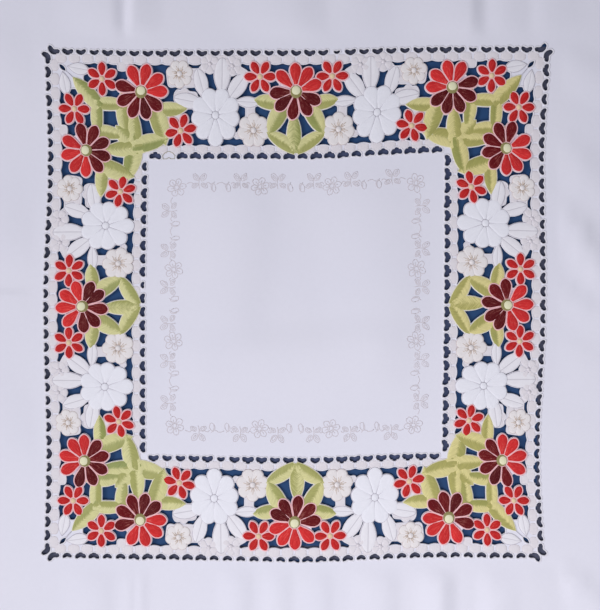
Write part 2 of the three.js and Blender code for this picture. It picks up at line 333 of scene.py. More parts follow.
# %% Folds
fold_columns = "at before after height crest lean"
side_folds = {
    "top": table(
        fold_columns,
        (-182, 60, 15, 4, 2, -0.03),
        (-162, 9, 34, 4.4, 1.6, 0.05),
        (-6, 70, 42, 4),
        (60, 30, 40, 1),
        (173, 90, 17, 4.4, 1.5),
        (208, 20, 30, 1.6),
        (250, 20, 40, 1.6),
    ),
    "right": table(
        fold_columns,
        (-238, 30, 34, 2, 2, 0.3),
        (-150, 40, 45, 2.6, 2, 0.8),
        (-100, 34, 56, 6, 1.6, 1.4),
        (-14, 24, 34, 2.6, 2, 0.6),
        (40, 40, 60, 1.4, 2, 0.4),
        (262, 26, 40, 3, 2, 0.9),
    ),
    "bottom": table(
        fold_columns,
        (-246, 60, 30, 2.4, 2, 0.8),
        (-200, 30, 20, 2.4),
        (-146, 20, 30, 4.6, 1.6),
        (-86, 24, 36, 3),
        (-24, 18, 30, 2),
        (18, 20, 18, 2.2),
        (58, 19, 24, 2.6),
        (156, 11, 8, 1.8, 1.6),
        (166, 7, 20, 1.6, 1.6),
        (200, 26, 40, 3),
    ),
    "left": table(
        fold_columns,
        (-118, 50, 60, 1.8),
        (11, 34, 6, 1.5, 1.5),
        (76, 60, 60, 1.8),
        (248, 50, 40, 1.8),
    ),
}
fold_start = 18
field_swells = table(
    "from to before after height",
    ((-48, 136), (-70, -52), 70, 44, 3.4),
    ((70, 140), (98, -60), 70, 56, 3),
    ((-128, -56), (120, -40), 66, 34, 3.6),
)
swell_ends = (-10, 45)


def ridge(across, fold):
    """The height of a fold: across is the distance to its crest, negative before it."""
    distance = np.abs(across) / np.where(across < 0, fold["before"], fold["after"])
    return fold["height"] * np.clip(1 - distance ** fold.get("crest", 2), 0, None) ** 2


def lift(points):
    """How high the underside of the cloth is at each point, from its folds."""
    x, y = points[:, 0], points[:, 1]
    height = np.zeros(len(points))
    for swell in field_swells:
        start, end = np.array(swell["from"]), np.array(swell["to"])
        length = np.linalg.norm(end - start)
        way = (end - start) / length
        along = (x - start[0]) * way[0] + (y - start[1]) * way[1]
        across = (y - start[1]) * way[0] - (x - start[0]) * way[1]
        ends = smoothstep(along, *swell_ends) * smoothstep(length - along, *swell_ends)
        height += ends * ridge(across, swell)
    for folds in side_folds.values():
        depth = y - plate_half
        for fold in folds:
            across = x - fold["at"] - fold.get("lean", 0) * depth
            height += smoothstep(depth, 0, fold_start) * ridge(across, fold)
        x, y = -y, x
    return height


def quarter_turns(points):
    """The same points on all four sides, each a quarter turn clockwise from the one before."""
    turned = [np.asarray(points, float)]
    for _ in range(3):
        turned.append(np.stack([turned[-1][:, 1], -turned[-1][:, 0]], axis=1))
    return turned


print("folds in the margin:", {side: len(folds) for side, folds in side_folds.items()})

# %% [markdown]
# Every petal, leaf, knob and shell is one padded form. It needs an outline and a spine: for
# each point of the outline, the place on the form's middle line that faces it. Rings between
# the two follow the outline, so a stitched rim keeps one width all round.

# %% Outlines
outline_steps = 10
disc_points = 16


def leaf_width(along):
    """A leaf's half width, from 0 to 1: a blunt base, a full middle and a pointed tip."""
    before = 1 - 0.45 * ((0.4 - along) / 0.4) ** 2
    after = 1 - (np.clip(along - 0.4, 0, None) / 0.6) ** 2.5
    return np.where(along < 0.4, before, after)


def broad_width(along):
    """The half width of a white leaf, from 0 to 1: narrow at its base and broad near its tip."""
    return np.clip(np.sin(math.pi * along**1.25), 0, 1) ** (0.8 - 0.3 * along)


def slit_width(along):
    return np.sin(math.pi * along)


def tie_width(along):
    """Straight sides with rounded ends, as a bar of stitches has."""
    return np.clip(1 - (2 * along - 1) ** 6, 0, 1) ** 0.5


def shell_width(along):
    """Narrow under the hearts, and round at the free end."""
    return np.clip(1.0 - 0.30 * (1 - along) ** 2, 0, 1) * np.clip(1 - along**5, 0, 1) ** 0.5


def form(start, end, half_width, width_at, bow=0.0, spine=(0.3, 0.75), **facts):
    """A padded form from start to end, in cloth coordinates, with its outline anticlockwise."""
    start, end = np.array(start, float), np.array(end, float)
    length = np.linalg.norm(end - start)
    turn = np.arange(outline_steps + 1) * math.pi / outline_steps
    along = (1 - np.cos(turn)) / 2
    width = half_width * width_at(along)
    along = np.concatenate([along, along[-2:0:-1]])
    across = np.concatenate([-width, width[-2:0:-1]])
    is_blunt = width[0] > 0.1 * half_width
    if is_blunt:
        along = np.append(along, 0.0)
        across = np.append(across, width[0])
    line = (end - start) / length
    side = np.array([-line[1], line[0]])

    def placed(share, offset):
        bend = bow * 4 * share * (1 - share)
        return start + np.outer(share * length, line) + np.outer(offset + bend, side)

    middle = np.clip(along, *spine)
    return {
        "outline": placed(along, across),
        "spine": placed(middle, 0 * middle),
        "along": (along, middle),
        "across": (across / half_width, 0 * middle),
        "plan": (np.stack([across, along * length], 1), np.stack([0 * middle, middle * length], 1)),
        **facts,
    }


def disc(centre, radius, **facts):
    """A round form, such as a flower's knob. Its stitches run up and down the cloth."""
    turn = np.arange(disc_points) * math.tau / disc_points
    rim = np.stack([np.cos(turn), np.sin(turn)], axis=1)
    middle = np.zeros((disc_points, 2))
    return {
        "outline": centre + radius * rim,
        "spine": middle + centre,
        "along": (0.5 + 0.5 * rim[:, 1], middle[:, 0] + 0.5),
        "across": (rim[:, 0], middle[:, 0]),
        "plan": (radius * rim, middle),
        **facts,
    }


# %% [markdown]
# A flower is a ring of petals round a knob. A plain disc behind them stands for the fabric
# that is left there, so the cut ground reaches only between the petals' tips. Petals and
# leaves that overlap are raised by small steps, so that no two share a height. Most motifs
# have a mirrored twin, across the corner's diagonal or at the other half of the side.

# %% Add a flower or a leaf
forms = []
backing_discs = []
petal_step = 0.07
leaf_step = 0.09
leaf_spine = (0.12, 0.82)


def direction(degrees):
    return np.array([math.cos(math.radians(degrees)), math.sin(math.radians(degrees))])


def add_flower(centre, look, angles, bright_towards):
    """Petals at these angles, in degrees, round a centre in cloth coordinates, and a knob."""
    kind = look["kind"]
    centre = np.array(centre, float)
    shares = look.get("shares", [1] * len(angles))
    for index, (angle, share) in enumerate(zip(angles, shares)):
        is_bright = kind != "rose" or index < bright_petals
        forms.append(form(
            centre + look["start"] * direction(angle),
            centre + look["reach"] * share * direction(angle),
            look["width"] / 2,
            lambda along: np.interp(along, petal_stations, petal_widths[kind]),
            kind=kind,
            tone=float(is_bright),
            raised=petal_step * (index % 3),
        ))
    backing_discs.append(disc(centre, look["reach"] * look["backing"])["outline"])
    if kind == "rose":
        towards = np.array(bright_towards, float)
        forms.append(disc(centre - 0.7 * towards, crescent_radius, kind="crescent", tone=0.0))
        forms.append(disc(centre + 0.5 * towards, rose_knob_radius, kind="knob", tone=1.0))
    else:
        forms.append(disc(centre, look["knob"], kind=kind + " centre", tone=1.0))


def add_leaf(leaf, place, kind, width_at, hand=1):
    """A leaf or a tie. hand is -1 for a mirrored twin."""
    forms.append(form(place(leaf["base"]), place(leaf["tip"]), leaf["width"] / 2, width_at,
                      bow=hand * leaf.get("bow", 0), spine=leaf_spine, kind=kind,
                      tone=hand * leaf.get("tone", 1.0), raised=leaf_step * (len(forms) % 4)))


# %% Lay out one side and its corner
def on_side(point):
    return (point[0], outer_row - point[1])


def on_side_twin(point):
    return on_side((-point[0], point[1]))


def on_corner(point):
    return (point[0] - outer_row, outer_row - point[1])


def on_corner_twin(point):
    return on_corner((point[1], point[0]))


for flowers, place, twin, mirror in (
    (corner_flowers, on_corner, on_corner_twin, -90),
    (side_flowers, on_side, None, None),
    (paired_flowers, on_side, on_side_twin, 180),
):
    for flower in flowers:
        add_flower(place(flower["at"]), flower["look"], flower["angles"], (0, 1))
        if twin:
            mirrored = [mirror - angle for angle in flower["angles"]]
            add_flower(twin(flower["at"]), flower["look"], mirrored, (-1, 0))
for leaves, kind, width_at, place, twin in (
    (star_leaves, "green leaf", leaf_width, on_corner, None),
    (side_leaves, "green leaf", leaf_width, on_side, None),
    (corner_leaves, "green leaf", leaf_width, on_corner, on_corner_twin),
    (white_leaves_of_corner, "white leaf", broad_width, on_corner, on_corner_twin),
    (ties_of_corner, "tie", tie_width, on_corner, on_corner_twin),
    (paired_green_leaves, "green leaf", leaf_width, on_side, on_side_twin),
    (white_leaves_of_pair, "white leaf", broad_width, on_side, on_side_twin),
    (ties_of_pair, "tie", tie_width, on_side, on_side_twin),
):
    for leaf in leaves:
        add_leaf(leaf, place, kind, width_at)
        if twin:
            add_leaf(leaf, twin, kind, width_at, hand=-1)
print("padded forms on one side:", len(forms))

# %% [markdown]
# Along both edges of the band runs a row of small heart-shaped holes. No two hearts are cut
# quite alike: they differ in size and tilt, a few are odd, and one was stitched but never cut.
# The two hearts at a corner lean towards it.

# %% Hearts
outer_heart = {"half": 4.4, "sag": 2.8, "middle": 5.4, "end": 4.6}
inner_heart = {"half": 4.0, "sag": 2.6, "middle": 6.0, "end": 4.8}
heart_points = 5
side_sizes = {"outer": (0.95, 0.95, 0.92, 0.91), "inner": (1.02, 1.07, 1.01, 0.93)}
uneven_size = (-0.13, 0.08)
uneven_tilt = (-0.12, 0.12)
corner_heart_size = 1.08
corner_heart_tilt = 0.45
corner_heart_shift = (0.54, 0.9)
odd_sizes = {
    ("outer", 0, 21): 0.62,
    ("outer", 0, 31): 0.72,
    ("inner", 2, 16): 0.7,
    ("inner", 3, 12): 0.66,
}
uncut_heart = ("inner", 0, 1)


def heart_outline(heart, size=1.0, tilt=0.0):
    """A bent bean: two round lobes upwards, with the plain cloth bulging between them."""
    share = np.linspace(-1, 1, heart_points)
    line = np.stack([heart["half"] * share, heart["sag"] * (share**2 - 0.6)], axis=1)
    slope = 2 * heart["sag"] * share / heart["half"]
    normal = np.stack([-slope, np.ones_like(slope)], axis=1)
    normal /= np.linalg.norm(normal, axis=1, keepdims=True)
    thick = heart["middle"] + (heart["end"] - heart["middle"]) * share**2
    upper = line + normal * thick[:, None] / 2
    lower = line - normal * thick[:, None] / 2
    forwards = np.array([normal[-1, 1], -normal[-1, 0]]) * heart["end"] * 0.42
    right_end = line[-1] + forwards
    left_end = line[0] + forwards * (-1, 1)
    outline = size * np.vstack([upper[::-1], left_end, lower, right_end])
    cos, sin = math.cos(tilt), math.sin(tilt)
    return outline @ np.array([[cos, sin], [-sin, cos]])


def row_middles(count):
    return (np.arange(count) - (count - 1) / 2) * heart_pitch


hearts = []
for row, half, count, heart, facing in (
    ("outer", outer_row, outer_hearts, outer_heart, 1),
    ("inner", inner_row, inner_hearts, inner_heart, -1),
):
    for quarter in range(4):
        for index, middle in enumerate(row_middles(count)):
            size = side_sizes[row][quarter] + dice.uniform(*uneven_size)
            tilt = dice.uniform(*uneven_tilt)
            place = np.array([middle, half])
            if row == "outer" and index in (0, count - 1):
                hand = math.copysign(1, middle)
                size = corner_heart_size
                tilt = corner_heart_tilt * hand
                place = place + corner_heart_shift * np.array([hand, 1])
            size *= odd_sizes.get((row, quarter, index), 1.0)
            outline = heart_outline(heart, size, tilt) * (1, facing) + place
            if (row, quarter, index) == uncut_heart:
                uncut_line = outline
            else:
                hearts.append(pulled(quarter_turns(outline)[quarter]))
slit = form(on_corner(slit_base), on_corner(slit_tip), slit_half_width, slit_width)
hearts.extend(pulled(turned) for turned in quarter_turns(slit["outline"]))
print("hearts and slits:", len(hearts))

# %% [markdown]
# Between each two hearts hangs a shell of stitches, and the shells' free edges are where the
# cut ground begins: a line with a small cusp under every heart.

# %% Shells
shell_gap = 0.35
shell_top = 2.6
cusp_steps = 10
cusp_depth = 1.7


def shell(along, half, facing):
    """A shell between two hearts: facing is 1 if it hangs inwards from the outer row."""
    overhang = outer_overhang if facing > 0 else inner_overhang
    top = half - facing * shell_top
    bottom = half - facing * (shell_depth + overhang + 0.1)
    return form((along, top), (along, bottom), heart_pitch / 2 - shell_gap, shell_width,
                spine=(0.35, 0.6), kind="shell", tone=1.0)


def scalloped(half, towards, first_cusp):
    """A closed square line with a small cusp under every heart."""
    line = []
    count = int(2 * half / heart_pitch * cusp_steps)
    for index in range(count):
        along = -half + 2 * half * index / count
        phase = ((along - first_cusp) / heart_pitch) % 1
        from_cusp = min(phase, 1 - phase) * 2
        dip = cusp_depth * (1 - from_cusp) ** 2.2
        line.append((along, half + towards * (dip - 0.3)))
    return np.array([point for side in quarter_turns(line) for point in side])


for middle in row_middles(outer_hearts - 1):
    forms.append(shell(middle, outer_row, 1))
for middle in row_middles(inner_hearts + 1):
    forms.append(shell(middle, inner_row, -1))
print("padded forms with the shells:", len(forms))

# %% [markdown]
# The cloth itself starts as a flat drawing. Blender's constrained Delaunay triangulation takes
# all outlines at once, cuts them where they cross, and says for each small triangle which
# outlines it lies in. Lone points between them keep the triangles small where folds run.

# %% Draw the outlines
margin_step = 3.2
margin_rows = 13
hem_rows = [0, 6]
field_step = 9.0
field_half = inner_row - 6
motif_growth = 0.25
drawing_points = []
drawing_faces = []


def outwards_of(line):
    """For each point of a closed anticlockwise line, the unit vector away from it."""
    way = np.roll(line, -1, axis=0) - np.roll(line, 1, axis=0)
    way /= np.maximum(np.linalg.norm(way, axis=1, keepdims=True), 1e-9)
    return np.stack([way[:, 1], -way[:, 0]], axis=1)


def signed_area(outline):
    ahead = np.roll(outline, -1, axis=0)
    return float((outline[:, 0] * ahead[:, 1] - outline[:, 1] * ahead[:, 0]).sum() / 2)


def draw(outline):
    """Adds a closed outline to the drawing, anticlockwise, and returns its number."""
    if signed_area(outline) < 0:
        outline = outline[::-1]
    first = len(drawing_points)
    drawing_points.extend(map(tuple, outline))
    drawing_faces.append(list(range(first, len(drawing_points))))
    return len(drawing_faces) - 1


ground_face = draw(pulled(scalloped(outer_row - shell_depth - outer_overhang, 1, 0.0)))
field_face = draw(pulled(scalloped(inner_row + shell_depth + inner_overhang, -1, heart_pitch / 2)))
heart_faces = {draw(outline) for outline in hearts}
fan = [(0, 0), (corner_fan, 0), (corner_fan, corner_fan), (0, corner_fan)]
motif_outlines = [one["outline"] + motif_growth * outwards_of(one["outline"]) for one in forms]
motif_outlines += backing_discs
motif_outlines.append(np.array([on_corner(point) for point in fan], float))
for outline in motif_outlines:
    for turned in quarter_turns(outline):
        draw(pulled(turned))

steps = np.arange(-cloth_half, cloth_half + 1, margin_step)
fold_rows = np.linspace(fold_start, cloth_half - plate_half, margin_rows - len(hem_rows))
strip = [(along, plate_half + depth) for depth in np.concatenate([hem_rows, fold_rows])
         for along in steps if abs(along) <= plate_half + depth]
field_line = np.arange(-field_half, field_half + 1, field_step)
field = [(x, y) for x in field_line for y in field_line]
lone = np.array([point for side in quarter_turns(strip) for point in side] + field)
lone = np.unique(np.round(lone, 3), axis=0)
drawing_points.extend(map(tuple, pulled(lone)))
sheet_corners = [(1, 1), (1, -1), (-1, -1), (-1, 1)]
sheet_face = draw(cloth_half * np.array(sheet_corners, float))
print("points in the drawing:", len(drawing_points), "outlines:", len(drawing_faces))

# %% [markdown]
# Ground that no motif covers becomes a hole, unless it is too small for the scissors. Touching
# triangles of such ground are first gathered into patches, to measure each one.

# %% Triangulate and cut
least_hole = 5.0
merge_distance = 1e-4
corners, _, triangles, _, _, inside = delaunay_2d_cdt(
    [Vector(point) for point in drawing_points], [], drawing_faces, 0, merge_distance, True)
corners = np.array([tuple(corner) for corner in corners])
triangles = np.array(triangles)
print("triangles in the drawing:", len(triangles))


def is_cut(faces):
    if not heart_faces.isdisjoint(faces):
        return True
    others = set(faces) - {ground_face, field_face, sheet_face}
    return ground_face in faces and field_face not in faces and not others


def doubled_areas(points, faces):
    """Twice the area of each triangle, negative where it is clockwise."""
    a, b, c = (points[faces[:, k]] for k in range(3))
    return (b - a)[:, 0] * (c - a)[:, 1] - (b - a)[:, 1] * (c - a)[:, 0]


def patches(faces, chosen):
    """Groups of chosen triangles that share edges, as lists of triangle indices."""
    sharing = {}
    for index in np.flatnonzero(chosen).tolist():
        for k in range(3):
            edge = frozenset((faces[index, k], faces[index, k - 1]))
            sharing.setdefault(edge, []).append(index)
    group_of = {index: [index] for pair in sharing.values() for index in pair}
    for pair in sharing.values():
        smaller, larger = sorted((group_of[pair[0]], group_of[pair[-1]]), key=len)
        if smaller is not larger:
            larger.extend(smaller)
            group_of.update((index, larger) for index in smaller)
    return list({id(group): group for group in group_of.values()}.values())


cut = np.array([is_cut(faces) for faces in inside])
areas = np.abs(doubled_areas(corners, triangles)) / 2
holes = 0
for group in patches(triangles, cut):
    if areas[group].sum() < least_hole:
        cut[group] = False
    else:
        holes += 1
print("holes cut:", holes)

# %% [markdown]
# The kept triangles become a bmesh, and Blender's solidify gives them a thickness. The lower
# layer is then laid on the table, or lifted where a fold runs, and the upper layer rests on
# it. The turned hem is thicker than the rest.

# %% The cloth
hem_step = 1.0
sharp_edge = math.radians(50)


def thickness_at(points):
    edge = np.abs(points).max(axis=1)
    hem = smoothstep(edge, cloth_half - hem_width - hem_step, cloth_half - hem_width)
    return cloth_thickness + (hem_thickness - cloth_thickness) * hem


def finished(name, mesh):
    """An object of the mesh, shaded smooth, with its triangles counted."""
    mesh.shade_smooth()
    print(name, "has", sum(len(face.vertices) - 2 for face in mesh.polygons), "triangles")
    return add_object(name, mesh)


def piece_from(bm, name):
    mesh = bpy.data.meshes.new(name)
    bm.to_mesh(mesh)
    bm.free()
    return finished(name, mesh)


used, kept = np.unique(triangles[~cut], return_inverse=True)
kept = kept.reshape(-1, 3)
plan = corners[used]
bm = bmesh.new()
sheet_points = [bm.verts.new((x * MM, y * MM, 0)) for x, y in plan]
for face in kept:
    bm.faces.new([sheet_points[k] for k in face])
bmesh.ops.recalc_face_normals(bm, faces=bm.faces)
if bm.faces[:][0].normal.z < 0:
    bmesh.ops.reverse_faces(bm, faces=bm.faces)
bmesh.ops.solidify(bm, geom=bm.faces[:], thickness=cloth_thickness * MM)
flat_heights = np.array([point.co.z for point in bm.verts])
middle_height = (flat_heights.max() + flat_heights.min()) / 2
flat_plan = np.array([(point.co.x / MM, point.co.y / MM) for point in bm.verts])
lower = lift(flat_plan)
upper = lower + thickness_at(flat_plan)
for point, low, high in zip(bm.verts, lower, upper):
    point.co.z = (high if point.co.z > middle_height else low) * MM
cloth = piece_from(bm, "linen_cloth")
cloth.data.set_sharp_from_angle(angle=sharp_edge)

# %% [markdown]
# One padded form is an outline, a stitched rim, a groove and a filling that rises to the
# middle line. The rings below give this section: how far a ring lies inside the outline, in
# millimetres, what share of the rest of the way to the spine it goes, and its height above
# the cloth. A "puff" lowers the section of the flatter kinds.

# %% Padded sections
sections = {
    "rose": [(0.1, 0, -0.5), (0.0, 0, 0.4), (0.35, 0, 0.65), (0.8, 0, 0.6), (1.1, 0, 0.5),
             (1.45, 0, 0.8), (1.45, 0.45, 1.2), (1.45, 0.8, 1.3), (1.45, 1, 1.3)],
    "leaf": [(0.1, 0, -0.5), (0.0, 0, 0.35), (0.25, 0, 0.55), (0.6, 0, 0.5), (1.0, 0, 0.75),
             (1.0, 0.4, 1.15), (1.0, 0.8, 1.0), (1.0, 1, 0.7)],
    "white": [(0.1, 0, -0.5), (0.0, 0, 0.1), (0.4, 0, 0.35), (0.9, 0, 0.8),
              (0.9, 0.35, 1.05), (0.9, 0.75, 1.15), (0.9, 1, 1.15)],
    "knob": [(0.0, 0, -0.5), (0.0, 0, 0.6), (0.3, 0, 1.0), (0.3, 0.35, 1.5), (0.3, 0.7, 1.8),
             (0.3, 1, 1.9)],
}
rim_rings = {"rose": 4, "leaf": 3, "white": 2, "knob": 0}
section_of = {
    "rose": "rose", "small red": "rose", "green leaf": "leaf", "white leaf": "leaf",
    "white": "white", "cream": "white", "knot": "white", "shell": "white", "tie": "white",
}
puffs = {
    "white": 0.42, "cream": 0.5, "knot": 0.4, "white leaf": 0.45, "tie": 0.4, "shell": 0.4,
    "white centre": 0.5, "green leaf": 0.75, "knob": 0.6, "crescent": 0.6,
}
furthest_inset = 0.55


def padded_rings(one, section, base):
    """All points of a form, ring by ring, in cloth coordinates, with their thread facts."""
    outline, spine = one["outline"], one["spine"]
    reach = np.maximum(np.linalg.norm(spine - outline, axis=1), 1e-6)
    rings = []
    for inset, share, height in section:
        way = np.clip(inset / reach, 0, furthest_inset)
        way = way + (1 - way) * share
        mixed = {"place": outline + (spine - outline) * way[:, None]}
        for fact in ("along", "across"):
            mixed[fact] = one[fact][0] * (1 - way) + one[fact][1] * way
        mixed["plan"] = one["plan"][0] * (1 - way[:, None]) + one["plan"][1] * way[:, None]
        height = height if height < 0 else base + height * puffs.get(one["kind"], 1.0)
        mixed["height"] = np.full(len(outline), height)
        rings.append(mixed)
    return {key: np.concatenate([ring[key] for ring in rings]) for key in rings[0]}


# %% [markdown]
# Hundreds of forms share these few rings, so they are laid out as arrays and joined into one
# mesh for each colour of thread. Every point keeps what its material needs: where it is along
# and across its form, the form's tone, and a number of its own for its lot of thread.

# %% Join the padded forms
weld_distance = 0.01 * MM


def ring_faces(count, rings, first, closed_rings=False, closed_lines=True):
    """Quads between neighbouring rings of points. Rings and lines may close on themselves."""
    faces = []
    for ring in range(rings if closed_rings else rings - 1):
        here, next_ring = first + ring * count, first + (ring + 1) % rings * count
        for index in range(count if closed_lines else count - 1):
            beside = (index + 1) % count
            faces.append((here + index, here + beside, next_ring + beside, next_ring + index))
    return faces


def joined_mesh(name, places, faces, plans):
    """One mesh from arrays of places in metres, with the stitch plans as its UV map."""
    mesh = bpy.data.meshes.new(name)
    mesh.from_pydata(np.concatenate(places), [], faces)
    corners_of = np.zeros(len(mesh.loops), np.int32)
    mesh.loops.foreach_get("vertex_index", corners_of)
    layer = mesh.uv_layers.new(name="stitches")
    layer.data.foreach_set("uv", np.concatenate(plans)[corners_of].astype(np.float32).ravel())
    return mesh


def on_cloth(points, above=0.0):
    """Places in metres on the cloth's upper face, or a little above it."""
    return np.column_stack([points, lift(points) + thickness_at(points) + above]) * MM


def stitched_piece(name, kinds, base=0.0):
    """One joined piece of all forms of some kinds, on all four sides."""
    places, faces, rims, plans, first = [], [], [], [], 0
    facts = {"along": [], "across": [], "tone": [], "lot": []}
    for one in forms:
        if one["kind"] not in kinds:
            continue
        named = section_of.get(one["kind"], "knob")
        rings, count = len(sections[named]), len(one["outline"])
        made = padded_rings(one, sections[named], base + one.get("raised", 0.0))
        for turned in quarter_turns(made["place"]):
            places.append(on_cloth(pulled(turned), made["height"]))
            faces.extend(ring_faces(count, rings, first))
            faces.append(tuple(first + index for index in reversed(range(count))))
            rims.extend([1] * (rim_rings[named] * count))
            rims.extend([0] * ((rings - 1 - rim_rings[named]) * count + 1))
            made.update(tone=one["tone"], lot=dice.uniform())
            for fact, values in facts.items():
                values.append(np.full(rings * count, made[fact]))
            plans.append(made["plan"])
            first += rings * count
    mesh = joined_mesh(name, places, faces, plans)
    mesh.polygons.foreach_set("material_index", rims)
    for fact, values in facts.items():
        layer = mesh.attributes.new(fact, "FLOAT", "POINT")
        layer.data.foreach_set("value", np.concatenate(values).astype(np.float32))
    bm = bmesh.new()
    bm.from_mesh(mesh)
    bmesh.ops.remove_doubles(bm, verts=bm.verts, dist=weld_distance)
    bm.to_mesh(mesh)
    bm.free()
    return finished(name, mesh)


green_leaves = stitched_piece("green_leaves", ["green leaf"], 0.3)
rose_petals = stitched_piece("rose_petals", ["rose"], 0.95)
small_petals = stitched_piece("small_red_petals", ["small red"], 0.7)
shells = stitched_piece("shells", ["shell"], -0.05)
ties = stitched_piece("white_ties", ["tie"], -0.2)
white_leaves = stitched_piece("white_leaves", ["white leaf"], 0.15)
white_petals = stitched_piece("white_petals", ["white", "white centre"], 0.6)
knot_petals = stitched_piece("knot_petals", ["knot", "knot centre"], 0.3)
cream_petals = stitched_piece("cream_petals", ["cream", "cream centre"], 0.45)
crescents = stitched_piece("rose_crescents", ["crescent"], 1.15)
knobs = stitched_piece("rose_knobs", ["knob"], 1.5)
small_knobs = stitched_piece("small_knobs", ["small red centre"], 0.8)

# %% [markdown]
# Every cut edge is bound with close stitches, so that it can't fray. Seen in section this
# binding is a small roll that wraps the edge. It follows the edge of each hole, which is
# found as a loop of edges that only one triangle of the flat drawing has.

# %% Bound edges
binding_section = [(-0.25, 0.15), (-0.3, 0.8), (0.0, 1.55), (0.6, 1.75), (1.15, 1.5), (1.3, 0.9),
                   (0.9, 0.2)]
binding_round = 7
binding_step = 1.4
least_points = 8
hem_reach = plate_half + 20


def edge_loops(faces):
    """Closed loops of point numbers round the holes, with the cloth on their left."""
    edges = dict.fromkeys(edge for a, b, c in faces.tolist() for edge in ((a, b), (b, c), (c, a)))
    ahead = {}
    for a, b in edges:
        if (b, a) not in edges:
            ahead.setdefault(a, []).append(b)
    loops = []
    while ahead:
        loop = [next(iter(ahead))]
        while loop[-1] in ahead:
            following = ahead[loop[-1]]
            step = following.pop()
            if not following:
                del ahead[loop[-1]]
            if step == loop[0]:
                break
            loop.append(step)
        loops.append(loop)
    return loops


def evenly_spaced(points, step):
    """The closed line again, with points about a step apart, and its length."""
    closed = np.vstack([points, points[:1]])
    along = np.concatenate([[0], np.cumsum(np.linalg.norm(np.diff(closed, axis=0), axis=1))])
    count = max(least_points, round(along[-1] / step))
    at = np.arange(count) * along[-1] / count
    return np.stack([np.interp(at, along, closed[:, k]) for k in range(2)], axis=1), along[-1]


def smoothed(line):
    return (np.roll(line, 1, axis=0) + 6 * line + np.roll(line, -1, axis=0)) / 8


anticlockwise = kept.copy()
clockwise = doubled_areas(plan, kept) < 0
anticlockwise[clockwise] = anticlockwise[clockwise][:, ::-1]
places, faces, plans, first = [], [], [], 0
for loop in edge_loops(anticlockwise):
    if len(loop) < 3 or np.abs(plan[loop]).max() > hem_reach:
        continue
    line, around = evenly_spaced(plan[loop], binding_step)
    line = smoothed(line)
    to_cloth = -outwards_of(line)
    count, ring = len(line), len(binding_section)
    for position, (inwards, height) in enumerate(binding_section):
        places.append(np.column_stack([line + inwards * to_cloth, lift(line) + height]) * MM)
        share = np.full(count, position / ring)
        plans.append(np.stack([np.arange(count) * around / count, binding_round * share], axis=1))
    faces.extend(ring_faces(count, ring, first, closed_rings=True))
    first += ring * count
bound_edges = finished("bound_edges", joined_mesh("bound_edges", places, faces, plans))

# %% [markdown]
# The plain field has a faint wreath in it, drawn with single white threads: round flowers at
# its corners and on its sides, with sprigs, small curls and stems between them.

# %% Lines of the wreath
wreath_row = 122
hand_error = 0.22


def loop_line(centre, half_width, half_height, turn=0.0, points=11):
    """A closed oval line round a centre, turned by so many degrees."""
    angle = np.arange(points + 1) * math.tau / points
    oval = np.stack([half_width * np.cos(angle), half_height * np.sin(angle)], axis=1)
    cos, sin = direction(turn)
    return oval @ np.array([[cos, sin], [-sin, cos]]) + centre


def arc(start, end, rise, points=7):
    """A bowed line from start to end."""
    start, end = np.array(start, float), np.array(end, float)
    share = np.linspace(0, 1, points)[:, None]
    side = np.array([start[1] - end[1], end[0] - start[0]]) / np.linalg.norm(end - start)
    return start + (end - start) * share + side * rise * 4 * share * (1 - share)


def by_hand(line):
    """The same line, a little uneven, as a hand stitches it."""
    uneven = line + dice.normal(0, hand_error, line.shape)
    if np.allclose(line[0], line[-1]):
        uneven[-1] = uneven[0]
    return uneven


def sprig(along):
    """Four leaflets round a short stem, each a double line."""
    centre = np.array([along, wreath_row + 3.5])
    lines = [arc(centre - (0, 6), centre + (0, 5), 0.8)]
    for turn, far, size in ((56, 6.6, 1.1), (124, 6.6, 1.1), (212, 5.6, 0.95), (328, 5.6, 0.95)):
        middle = centre + far * direction(turn)
        lines.append(by_hand(loop_line(middle, 3.7 * size, 2.3 * size, turn)))
        lines.append(by_hand(loop_line(middle, 2.2 * size, 0.9 * size, turn, 8)))
    return lines


def wreath_flower(along, across):
    """Six round petals and short stitches round a small ring."""
    centre = np.array([along, across])
    lines = [by_hand(loop_line(centre, 2.0, 2.0))]
    for turn in range(12, 372, 60):
        way = direction(turn)
        lines.append(by_hand(loop_line(centre + 6.1 * way, 3.3, 2.9, turn)))
        lines.append(by_hand(arc(centre + 2.8 * way, centre + 6.4 * way, 0.3, 4)))
    return lines


wreath_lines = []
for middle, row in ((-120, 120.5), (-36, 121.5), (36, 121.5)):
    wreath_lines.extend(wreath_flower(middle, row))
for middle in (-97, -55.5, -18, 18, 55.5, 97):
    wreath_lines.extend(sprig(middle))
for middle in (-83, -68, -6, 6, 68, 83):
    wreath_lines.append(by_hand(loop_line((middle, wreath_row - 1.5), 2.5, 4.4, 15)))
    wreath_lines.append(by_hand(arc((middle - 1, wreath_row - 4), (middle + 1, wreath_row + 4), 1.2)))
for start, end in ((-110, -103), (-91, -86), (-80, -71), (-65, -61), (-50, -46), (-27, -24),
                   (24, 27), (46, 50), (61, 65), (71, 80), (86, 91), (103, 110)):
    wreath_lines.append(by_hand(arc((start, wreath_row + 2), (end, wreath_row + 2), 1.6)))
print("lines of the wreath on one side:", len(wreath_lines))

# %% [markdown]
# The cream flowers have three fine stitches in every petal, the slit in the corner goes on as
# one stitched line, and the hem is sewn with a row of small stitches.

# %% Lines of the flowers, the slit and the hem
vein_stitches = ((-12, 0.44), (2, 0.58), (13, 0.4))
vein_start = 0.2
hem_stitch = 2.3
hem_pitch = 3.6
hem_seam = cloth_half - hem_width + 1.5

